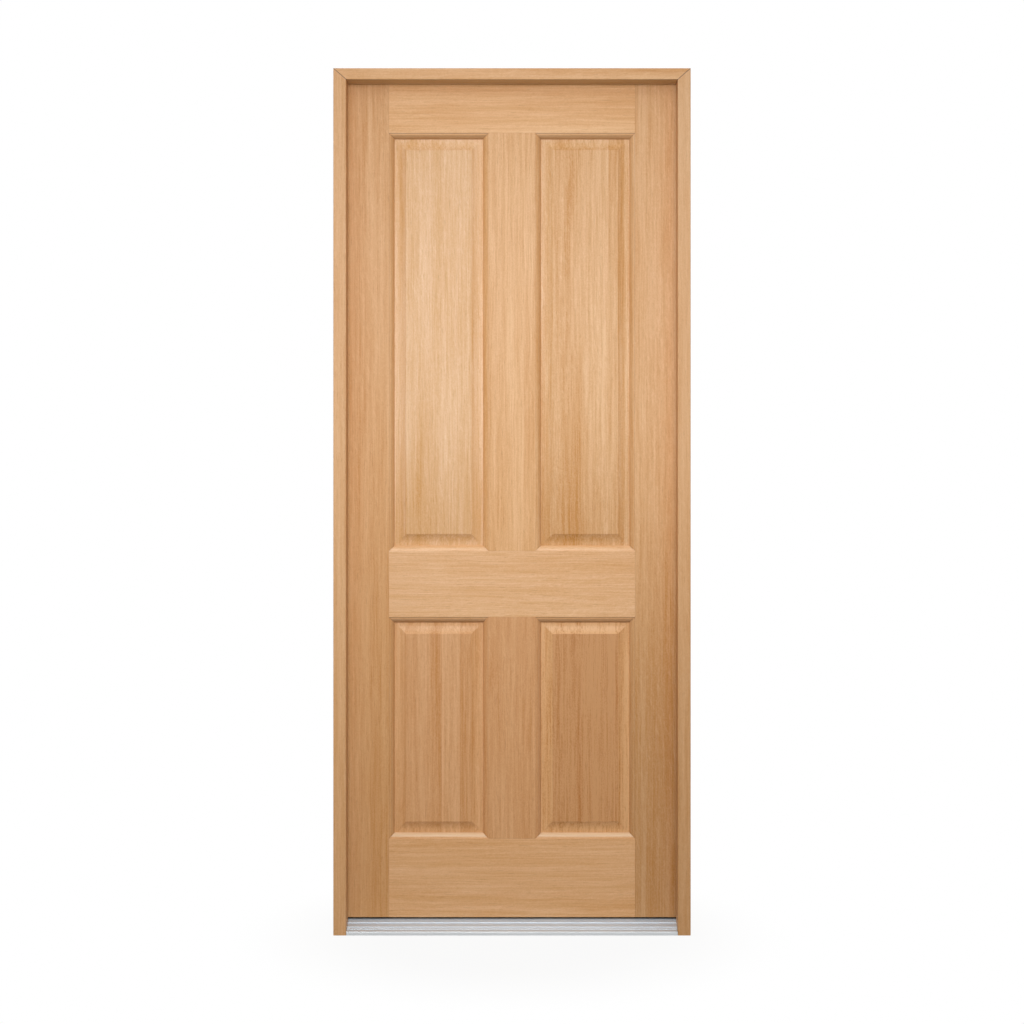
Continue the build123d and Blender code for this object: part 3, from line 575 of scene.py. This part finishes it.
def loft(name, rows, hollows=None):
    """Surface through rows of points. Point j of row i joins point j + 1 and row i + 1, each row closes on
    itself, and the first and last row are capped. More than one stack of rows gives more than one shell."""
    stack = rows.reshape(-1, *rows.shape[-3:])
    copies, count, around = stack.shape[:3]
    corner = np.arange(copies * count * around).reshape(copies, count, around)
    beside = np.roll(corner, -1, axis=2)
    quads = np.stack((corner[:, :-1], beside[:, :-1], beside[:, 1:], corner[:, 1:]), axis=-1).reshape(-1, 4)
    caps = np.concatenate((corner[:, 0, ::-1], corner[:, -1]))
    points = stack.reshape(-1, 3)
    turn = 1 if volume(points, quads) + volume(points, caps) > 0 else -1
    faces = quads[:, ::turn].tolist() + caps[:, ::turn].tolist()
    mesh = bpy.data.meshes.new(name)
    mesh.from_pydata(points.tolist(), [], faces)
    if hollows is not None:
        marks = mesh.attributes.new("hollow", "FLOAT", "POINT")
        marks.data.foreach_set("value", hollows.astype(np.float32).ravel())
    mesh.shade_smooth()
    mesh.set_sharp_from_angle(angle=sharp_angle)
    mesh.update()
    piece = bpy.data.objects.new(name, mesh)
    bpy.context.scene.collection.objects.link(piece)
    return piece


def place_piece(piece, node, body, material):
    """The piece takes its material, rides on its body and stands for its node."""
    piece.data.materials.append(material)
    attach(piece, body)
    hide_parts(node)


def place_board(piece, node, look):
    """A board of the leaf takes its own oak and stands for its node."""
    place_piece(piece, node, "leaf", oak_material(f"oak_{node}", look, **BOARDS[node]))


def arc(start, end, tangent, count):
    """Circular arc that leaves start along tangent and ends at end: the chord to a point turns evenly,
    and its length goes as the sine of that turn."""
    chord = np.subtract(end, start)
    heading = math.atan2(tangent[1], tangent[0])
    turn = (math.atan2(chord[1], chord[0]) - heading + math.pi) % (2 * math.pi) - math.pi
    steps = np.linspace(0, 1, count) * turn
    reach = np.hypot(*chord) * np.sin(steps) / math.sin(turn)
    return start + np.stack((reach * np.cos(heading + steps), reach * np.sin(heading + steps)), axis=1)


def moulding_line(sizes):
    """Moulding on one face, as run past the face edge and half thickness: eased arris, quirk, ovolo, lip."""
    ease = sizes.joint_ease
    eased = face_ease_share * ease
    step = leaf_half - sizes.quirk_step
    groove = leaf_half - sizes.moulding_depth
    face = [(-ease, leaf_half), (-eased, leaf_half - eased), (0, leaf_half - ease)]
    lip = (sizes.moulding_width, groove + sizes.lip_drop)
    ovolo = arc((0, step), lip, (1, -ovolo_slope), ovolo_points)
    return np.concatenate((face, ovolo, [(sizes.moulding_width, groove)]))


def moulded_edge(sizes, place, outward, quirk, stain_and_shade):
    """Moulded edge of a member, from its outside face to its inside face, in two states: worked with the
    moulding and the panel groove, and left square. Columns: place across, depth, run, hollow. Quirk is how dark
    the painted shade in the line at the face edge is, and the last argument how dark the painted shade on the
    moulding is farther along its run, a negative one giving a painted highlight. The groove at the sight line takes
    full painted shade."""
    line = moulding_line(sizes)
    run, half = line.T
    # Painted shade along the moulding's run, in the quirk line and in the groove.
    hollow = stain_and_shade * np.interp(run / sizes.moulding_width, painted_shade_shares, (0, 1))
    hollow[2 : 2 + len(quirk_shade_marks)] = quirk * quirk_shade_marks
    hollow[-1] = 1
    bottom = sizes.moulding_width - sizes.groove_depth
    groove = leaf_half - sizes.moulding_depth
    runs = np.concatenate((run, (bottom, bottom), run[::-1]))
    depths = np.concatenate((half, (groove, -groove), -half[::-1]))
    marks = np.concatenate((hollow, (1, 1), hollow[::-1]))
    square_depths = depths.copy()
    square_depths[len(line) : len(line) + 2] *= square_groove_share
    past = np.maximum(runs, 0)
    worked = np.stack((place + outward * runs, depths, past, marks), axis=1)
    square = np.stack((place + outward * np.minimum(runs, 0), square_depths, 0 * runs, 0 * runs), axis=1)
    return {"worked": worked, "square": square}


def plain_edge(radius, place, outward, stain_and_shade=0.0):
    """Plain edge of a member with a quarter round at each arris, the same in both states. The last argument
    darkens the edge with painted shade, which fades out over its reach on the face."""
    turn = np.linspace(0, math.pi / 2, arris_points)
    across = place - outward * radius * (1 - np.sin(turn))
    depth = leaf_half - radius * (1 - np.cos(turn))
    columns = np.stack((across, depth, 0 * turn, 0 * turn + stain_and_shade), axis=1)
    if stain_and_shade:
        columns = np.concatenate(([(place - outward * painted_shade_reach, leaf_half, 0, 0)], columns))
    both = np.concatenate((columns, columns[::-1] * (1, -1, 1, 1)))
    return {"worked": both, "square": both}


def hinged_edge(sizes, place, outward, plate_start):
    """Plain edge that also has a state with the hinge recess: from the plate's start to the inside face the
    edge lies deeper by the thickness of the plate."""
    edge = plain_edge(sizes.arris_radius, place, outward)["worked"]
    half = len(edge) // 2
    start = leaf_middle - plate_start + sizes.hinge_clearance
    shoulder = np.array(((place, start, 0, 0), (place, start - sizes.joint_ease, 0, 0)))
    plain = np.concatenate((edge[:half], shoulder, edge[half:]))
    cut = plain.copy()
    cut[half + 1 :, 0] = place - outward * sizes.hinge_recess
    cut[half + 2 :, 1] = np.linspace(sizes.arris_radius - leaf_half, -leaf_half, half)
    return {"worked": plain, "square": plain, "cut": cut}


def stations(start, end, spans, ease, cuts=()):
    """Stations along a member: place, mitre, state of the high edge, state of the low edge, and whether the end is
    eased. The moulding lives in the spans between the joints and ends there in mitres, and the hinge recesses lie
    in the cuts."""
    ends = [(start, 0, "square", "square", True), (end, 0, "square", "square", True)]
    if start < spans[0][0]:
        ends += [(start + ease, 0, "square", "square", False), (end - ease, 0, "square", "square", False)]
    for first, last in spans:
        ends += [(first + ease, 1, "worked", "worked", False), (last - ease, -1, "worked", "worked", False)]
        ends += [(first, 0, "square", "square", False)] if first > start else []
        ends += [(last, 0, "square", "square", False)] if last < end else []
    for first, last in cuts:
        ends += [(first, 0, "worked", "worked", False), (first + ease, 0, "worked", "cut", False)]
        ends += [(last - ease, 0, "worked", "cut", False), (last, 0, "worked", "worked", False)]
    return sorted(ends, key=lambda station: station[0])


def member(name, along, low, high, places, ease):
    """Member of the leaf: its section, from the high edge round to the low edge, carried along its stations.
    A mitred station moves each point along by its run past the face edge."""
    rows = []
    for place, mitre, high_state, low_state, eased in places:
        across, depth, run, hollow = np.concatenate((high[high_state], low[low_state][::-1])).T
        if eased:
            depth = depth * (1 - ease / leaf_half)
            hollow = hollow + 1
        rows.append((across, depth, place + mitre * run, hollow))
    across, depth, track, hollow = np.transpose(rows, (1, 0, 2))
    depth = leaf_middle - depth
    points = (track, depth, across) if along == "X" else (across, depth, track)
    return loft(name, np.stack(points, axis=-1), hollow)


def opening_spans(sizes):
    """Openings up the height and across the width, between the face edges of their members."""
    moulding = sizes.moulding_width
    up = (
        (bottom_rail_high.z - moulding, middle_rail_low.z + moulding),
        (middle_rail_high.z - moulding, top_rail_low.z + moulding),
    )
    shoulder = stile_high.x - moulding
    post = muntin_low.x + moulding
    return up, ((shoulder, post), (-post, -shoulder))


class DOOR_OT_stiles(bpy.types.Operator):
    """Two stiles: full height, moulded on their inner edges, with the hinge recesses in one of them"""

    bl_idname = "door.stiles"
    bl_label = "Stiles"

    def execute(self, context):
        sizes, look = context.scene.door_joinery, context.scene.door_oak
        up, across = opening_spans(sizes)
        ease, room = sizes.joint_ease, sizes.hinge_clearance
        bottom, top = stile_low.z, stile_high.z
        cuts = [(low.z - room, high.z + room) for low, high in hinge_boxes.values()]
        outer = hinged_edge(sizes, stile_low.x, -1, hinge_boxes["upper"][0].y)
        # Painted shade in the stiles' mouldings, more on the edge that faces right.
        inner = moulded_edge(sizes, across[0][0], 1, quirk=0.3, stain_and_shade=0.28)
        piece = member("hinge_stile_oak", "Z", outer, inner, stations(bottom, top, up, ease, cuts), ease)
        place_board(piece, "hinge_stile", look)
        # Painted shade on the lock stile's outer edge, where the frame shades it.
        outer = plain_edge(sizes.arris_radius, far_stile_high.x, 1, stain_and_shade=0.5)
        inner = moulded_edge(sizes, across[1][1], -1, quirk=0.3, stain_and_shade=0.15)
        piece = member("lock_stile_oak", "Z", inner, outer, stations(bottom, top, up, ease), ease)
        place_board(piece, "lock_stile", look)
        return {"FINISHED"}


class DOOR_OT_rails(bpy.types.Operator):
    """Top, middle and bottom rail between the stiles, moulded beside each panel"""

    bl_idname = "door.rails"
    bl_label = "Rails"

    def execute(self, context):
        sizes, look = context.scene.door_joinery, context.scene.door_oak
        up, across = opening_spans(sizes)
        (lower_bottom, lower_top), (upper_bottom, upper_top) = up
        ease = sizes.joint_ease
        places = stations(across[0][0], across[1][1], across, ease)
        # Painted shade in the mouldings: strongest where an edge faces down, and a painted highlight on the bottom
        # rail's edge, which faces up.
        edges = {
            "top_rail": (
                moulded_edge(sizes, upper_top, -1, quirk=1, stain_and_shade=0.75),
                plain_edge(ease, stile_high.z, 1),
            ),
            "middle_rail": (
                moulded_edge(sizes, lower_top, -1, quirk=1, stain_and_shade=0.6),
                moulded_edge(sizes, upper_bottom, 1, quirk=0, stain_and_shade=0.05),
            ),
            "bottom_rail": (
                plain_edge(ease, stile_low.z, -1),
                moulded_edge(sizes, lower_bottom, 1, quirk=0, stain_and_shade=-0.5),
            ),
        }
        for node, (low, high) in edges.items():
            piece = member(f"{node}_oak", "X", low, high, places, ease)
            place_board(piece, node, look)
        return {"FINISHED"}


class DOOR_OT_muntins(bpy.types.Operator):
    """Upper and lower muntin between the rails, moulded on both edges"""

    bl_idname = "door.muntins"
    bl_label = "Muntins"

    def execute(self, context):
        sizes, look = context.scene.door_joinery, context.scene.door_oak
        up, across = opening_spans(sizes)
        ease = sizes.joint_ease
        # Painted shade in the muntins' mouldings, more on the edge that faces right.
        low = moulded_edge(sizes, across[0][1], -1, quirk=0.2, stain_and_shade=0)
        high = moulded_edge(sizes, across[1][0], 1, quirk=0.3, stain_and_shade=0.3)
        for span, node in zip(up, ("lower_muntin", "upper_muntin")):
            piece = member(f"{node}_oak", "Z", low, high, stations(*span, (span,), ease), ease)
            place_board(piece, node, look)
        return {"FINISHED"}


def panel_line(sizes):
    """Panel from its outside field to its inside field, as run past the sight line and depth: eased field edge,
    hollow bevel, tongue, and the same on the inside."""
    field = leaf_half - sizes.field_recess
    tongue = leaf_half - sizes.moulding_depth - sizes.panel_clearance
    tip = sizes.groove_depth - sizes.panel_edge_room
    ease = sizes.joint_ease
    bevel = arc((0, tongue), (-sizes.bevel_width, field), (-1, 0), bevel_points)[::-1]
    bevel[0] -= (0, field_ease_share * ease)
    front = np.concatenate(([(-sizes.bevel_width - ease, field)], bevel, [(tip, tongue)]))
    return np.concatenate((front, front[::-1] * (1, -1)))


class DOOR_OT_panels(bpy.types.Operator):
    """Four raised and fielded panels: rectangles one inside the other that follow the panel's line"""

    bl_idname = "door.panels"
    bl_label = "Panels"

    def execute(self, context):
        sizes, look = context.scene.door_joinery, context.scene.door_oak
        up, across = opening_spans(sizes)
        run, depth = panel_line(sizes).T
        openings = {
            f"{row}_{side}_panel": (span_across, span_up)
            for row, span_up in zip(("lower", "upper"), up)
            for side, span_across in zip(("left", "right"), across)
        }
        for node, spans in openings.items():
            start, end = np.transpose(spans)
            sight = (end - start) / 2 - sizes.moulding_width
            flat = (start + end) / 2 + corner_turns * (sight + run[:, None, None])
            deep = np.broadcast_to(leaf_middle - depth[:, None], flat.shape[:2])
            # Marks the slopes that take the painted light and shade of the bevel tint.
            sloped = np.broadcast_to(run[:, None] > run[0], flat.shape[:2])
            piece = loft(f"{node}_oak", np.stack((flat[..., 0], deep, flat[..., 1]), axis=-1), sloped)
            place_board(piece, node, look)
        return {"FINISHED"}


class DOOR_OT_frame_timber(bpy.types.Operator):
    """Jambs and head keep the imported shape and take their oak"""

    bl_idname = "door.frame_timber"
    bl_label = "Frame timber"

    def execute(self, context):
        for node in ("hinge_jamb", "lock_jamb", "head"):
            dress(node, oak_material(f"oak_{node}", context.scene.door_oak, **BOARDS[node]))
        return {"FINISHED"}


class DOOR_OT_threshold(bpy.types.Operator):
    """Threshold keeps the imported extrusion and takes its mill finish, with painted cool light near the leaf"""

    bl_idname = "door.threshold"
    bl_label = "Threshold"

    def execute(self, context):
        look = context.scene.door_metal
        drawn = (3, 900, 900)
        # The top tone is painted cool light near the leaf.
        mill = metal_material("mill_aluminium", look.aluminium, 0.44, drawn, bright=0.45, top=look.aluminium_painted_light)
        dress("threshold", mill)
        return {"FINISHED"}


class DOOR_OT_seals(bpy.types.Operator):
    """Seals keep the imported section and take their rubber"""

    bl_idname = "door.seals"
    bl_label = "Seals"

    def execute(self, context):
        rubber = rubber_material("seal_rubber", context.scene.door_metal.rubber)
        for node in ("hinge_jamb_seal", "lock_jamb_seal", "head_seal", "threshold_seal"):
            dress(node, rubber)
        return {"FINISHED"}


class DOOR_OT_hinges(bpy.types.Operator):
    """Hinge plates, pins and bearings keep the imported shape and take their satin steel"""

    bl_idname = "door.hinges"
    bl_label = "Hinges"

    def execute(self, context):
        look = context.scene.door_metal
        satin = metal_material("satin_steel", look.hinge_steel, 0.3, (700, 700, 18))
        bright = metal_material("pin_steel", look.screw_steel, 0.2, (60, 60, 900))
        for name in hinge_names:
            dress(f"{name}_hinge_frame_plate", satin)
            dress(f"{name}_hinge_leaf_plate", satin)
            dress(f"{name}_hinge_pin", bright)
            dress(f"{name}_hinge_bearings", bright)
        return {"FINISHED"}


class DOOR_OT_dowels(bpy.types.Operator):
    """Dowels stay hidden in their joints and take plain timber"""

    bl_idname = "door.dowels"
    bl_label = "Dowels"

    def execute(self, context):
        for name in ("rail_dowel", "muntin_dowel"):
            node = f"{name}s"
            dress(node, oak_material(f"{name}_timber", context.scene.door_oak, **BOARDS[node]))
        return {"FINISHED"}


def screw_rows(sizes, reach):
    """One screw with its head at the origin and its point along -Z, as rings. The head dips by a cross: the
    dip falls off with the distance from the nearer arm and from the middle. The thread is a ridge that climbs
    one pitch each turn and dies out towards the point."""
    inner_ring, arm_wall, arm_end, blunt_tip, ridge_half = 0.02, 0.4, 0.6, 0.04, 0.25
    turn = np.linspace(0, 2 * math.pi, screw_points, endpoint=False)
    head = np.linspace(inner_ring, 1, head_rings)[:, None] * sizes.head_radius
    side, front = head * np.cos(turn), head * np.sin(turn)
    arm = np.minimum(np.abs(side), np.abs(front))
    inside = np.clip((sizes.recess_width - arm) / (arm_wall * sizes.recess_width), 0, 1)
    falling = np.clip((sizes.recess_reach - head) / (arm_end * sizes.recess_reach), 0, 1)
    top = np.stack((side, front, -sizes.recess_depth * inside * falling), axis=-1)
    neck = sizes.head_radius - sizes.shank_radius
    levels = np.linspace(-neck, -reach, shank_rings)[:, None]
    taper = np.clip((reach + levels) / sizes.tip_length, blunt_tip, 1)
    climb = np.mod(levels / sizes.thread_pitch - turn / (2 * math.pi), 1)
    ridge = np.clip(1 - np.abs(climb - 0.5) / ridge_half, 0, 1)
    round_shank = (sizes.shank_radius - sizes.thread_depth * (1 - ridge)) * taper
    level_grid = np.broadcast_to(levels, round_shank.shape)
    shank = np.stack((round_shank * np.cos(turn), round_shank * np.sin(turn), level_grid), axis=-1)
    return np.concatenate((top, shank))


def facing(rows, places, outward):
    """Copies of a screw at places, turned so that their heads look along outward X."""
    turned = np.stack((outward * rows[..., 2], outward * rows[..., 0], rows[..., 1]), axis=-1)
    return np.reshape(places, (-1, 1, 1, 3)) + turned


class DOOR_OT_screws(bpy.types.Operator):
    """Screws with a cross recess and a thread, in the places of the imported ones"""

    bl_idname = "door.screws"
    bl_label = "Screws"

    def execute(self, context):
        sizes, look = context.scene.door_screws, context.scene.door_metal
        steel = metal_material("bright_steel", look.screw_steel, 0.26, (300, 300, 300))
        rim = sizes.head_radius
        for node, body, outward in (("hinge_leaf_screws", "leaf", -1), ("hinge_frame_screws", "frame", 1)):
            low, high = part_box(node)
            face = low.x if outward < 0 else high.x
            columns = (low.y + rim, high.y - rim, low.y + rim, high.y - rim)
            places = [
                (face, column, foot.z * (1 - at) + top.z * at)
                for foot, top in hinge_boxes.values()
                for column, at in zip(columns, plate_screw_shares)
            ]
            piece = loft(f"{node}_steel", facing(screw_rows(sizes, high.x - low.x), places, outward))
            place_piece(piece, node, body, steel)
        for node, reach in (("corner_screws", sizes.corner_length), ("threshold_screws", sizes.threshold_length)):
            low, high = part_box(node)
            rows = screw_rows(sizes, reach)
            level = (low.z + high.z) / 2
            sides = [[(face, column, level) for column in (low.y + rim, high.y - rim)] for face in (low.x, high.x)]
            piece = loft(f"{node}_steel", np.concatenate((facing(rows, sides[0], -1), facing(rows, sides[1], 1))))
            place_piece(piece, node, "frame", steel)
        return {"FINISHED"}


def add_camera(stage):
    """A camera in front of the door that looks along +Y."""
    camera = bpy.data.objects.new("camera", bpy.data.cameras.new("camera"))
    camera.data.lens = stage.lens
    camera.data.sensor_width = sensor_width
    camera.location = (0, -stage.camera_distance, stage.camera_height)
    camera.rotation_euler = (math.radians(90), 0, 0)
    bpy.context.scene.collection.objects.link(camera)
    bpy.context.scene.camera = camera


def add_lamp(name, watts, spot, aim, side, beam):
    """A square soft lamp that looks at a height on the middle of the door."""
    lamp = bpy.data.objects.new(name, bpy.data.lights.new(name, "AREA"))
    lamp.data.energy = watts
    lamp.data.size = side
    lamp.data.spread = beam
    lamp.location = spot
    lamp.rotation_euler = (Vector((0, 0, aim)) - lamp.location).to_track_quat("-Z", "Y").to_euler()
    bpy.context.scene.collection.objects.link(lamp)


def seen_directly(paint):
    """1 for rays from the camera and for mirrored and refracted ones, 0 for the light that falls on things."""
    camera = paint.node("ShaderNodeLightPath", output="Is Camera Ray")
    glossy = paint.node("ShaderNodeLightPath", output="Is Glossy Ray")
    clear = paint.node("ShaderNodeLightPath", output="Is Transmission Ray")
    return paint.math("MAXIMUM", paint.math("MAXIMUM", camera, glossy), clear)


def add_world(stage):
    """A studio that is white where it is seen directly, and gives soft light that grows towards the zenith."""
    world = bpy.data.worlds.new("studio")
    world.use_nodes = True
    world.node_tree.nodes.clear()
    paint = Paint(world.node_tree)
    sky = paint.node("ShaderNodeTexCoord", output="Generated")
    height = paint.math("MAXIMUM", sky.part("Z"), 0.0)
    soft = stage.ambient + (stage.overhead - stage.ambient) * height
    level = soft + (1 - soft) * seen_directly(paint)
    back = paint.node("ShaderNodeBackground", None, {"Color": (1, 1, 1, 1), "Strength": level})
    paint.node("ShaderNodeOutputWorld", None, {"Surface": back})
    bpy.context.scene.world = world


def add_floor(stage):
    """A floor that is white where it is seen directly, but for a share of its shaded tone round the door. The light
    that falls on the door comes off the shaded tone alone."""
    mesh = bpy.data.meshes.new("floor")
    corners = (stage.floor_reach * corner_turns).tolist()
    mesh.from_pydata([(*corner, 0) for corner in corners], [], [range(len(corners))])
    floor = bpy.data.objects.new("floor", mesh)
    floor.location.z = -stage.floor_drop
    bpy.context.scene.collection.objects.link(floor)
    material, paint = new_material("white_floor")
    shaded = paint.node("ShaderNodeBsdfDiffuse", None, {"Color": solid(stage.floor_tone)})
    white = paint.node("ShaderNodeEmission", None, {"Color": (1, 1, 1, 1), "Strength": 1.0})
    spot = paint.node("ShaderNodeTexCoord", output="Object")
    far = paint.node("ShaderNodeVectorMath", {"operation": "LENGTH"}, {0: spot}, output="Value")
    near = 1 - far.fade(stage.shade_start, stage.shade_reach)
    part = seen_directly(paint) * (1 - stage.floor_shade * near)
    mixed = paint.node("ShaderNodeMixShader", None, {0: part, 1: shaded, 2: white})
    paint.node("ShaderNodeOutputMaterial", None, {"Surface": mixed})
    mesh.materials.append(material)


class DOOR_OT_stage(bpy.types.Operator):
    """Camera, lamps, world and the white floor"""

    bl_idname = "door.stage"
    bl_label = "Stage"

    def execute(self, context):
        stage = context.scene.door_stage
        square, beam = stage.front_size, stage.front_beam
        add_camera(stage)
        add_lamp("front_lamp", stage.front_power, stage.front_place, stage.front_aim, square, beam)
        add_lamp("top_lamp", stage.top_power, stage.top_place, stage.top_aim, stage.top_size, stage.top_beam)
        add_lamp("back_lamp", stage.back_power, stage.back_place, stage.front_aim, square, beam)
        add_world(stage)
        add_floor(stage)
        context.scene.view_settings.view_transform = "Standard"
        return {"FINISHED"}


OPERATORS = (
    DOOR_OT_stiles,
    DOOR_OT_rails,
    DOOR_OT_muntins,
    DOOR_OT_panels,
    DOOR_OT_frame_timber,
    DOOR_OT_threshold,
    DOOR_OT_seals,
    DOOR_OT_hinges,
    DOOR_OT_screws,
    DOOR_OT_dowels,
    DOOR_OT_stage,
)


class VIEW3D_PT_door(bpy.types.Panel):
    """Lists the door's pieces in the sidebar"""

    bl_label = "Panelled front door"
    bl_space_type = "VIEW_3D"
    bl_region_type = "UI"
    bl_category = "Door"

    def draw(self, context):
        for operator in OPERATORS:
            self.layout.operator(operator.bl_idname)


GROUPS = {
    "door_joinery": DoorJoinery,
    "door_oak": DoorOak,
    "door_metal": DoorMetal,
    "door_screws": DoorScrews,
    "door_stage": DoorStage,
}


def register():
    for name, group in GROUPS.items():
        bpy.utils.register_class(group)
        setattr(bpy.types.Scene, name, PointerProperty(type=group))
    for operator in OPERATORS:
        bpy.utils.register_class(operator)
    bpy.utils.register_class(VIEW3D_PT_door)


def unregister():
    bpy.utils.unregister_class(VIEW3D_PT_door)
    for operator in reversed(OPERATORS):
        bpy.utils.unregister_class(operator)
    for name, group in GROUPS.items():
        delattr(bpy.types.Scene, name)
        bpy.utils.unregister_class(group)


def main():
    """Builds the door piece by piece, then the stage."""
    register()
    bpy.ops.door.stiles()
    bpy.ops.door.rails()
    bpy.ops.door.muntins()
    bpy.ops.door.panels()
    bpy.ops.door.frame_timber()
    bpy.ops.door.threshold()
    bpy.ops.door.seals()
    bpy.ops.door.hinges()
    bpy.ops.door.screws()
    bpy.ops.door.dowels()
    bpy.ops.door.stage()


if __name__ == "__main__":
    main()
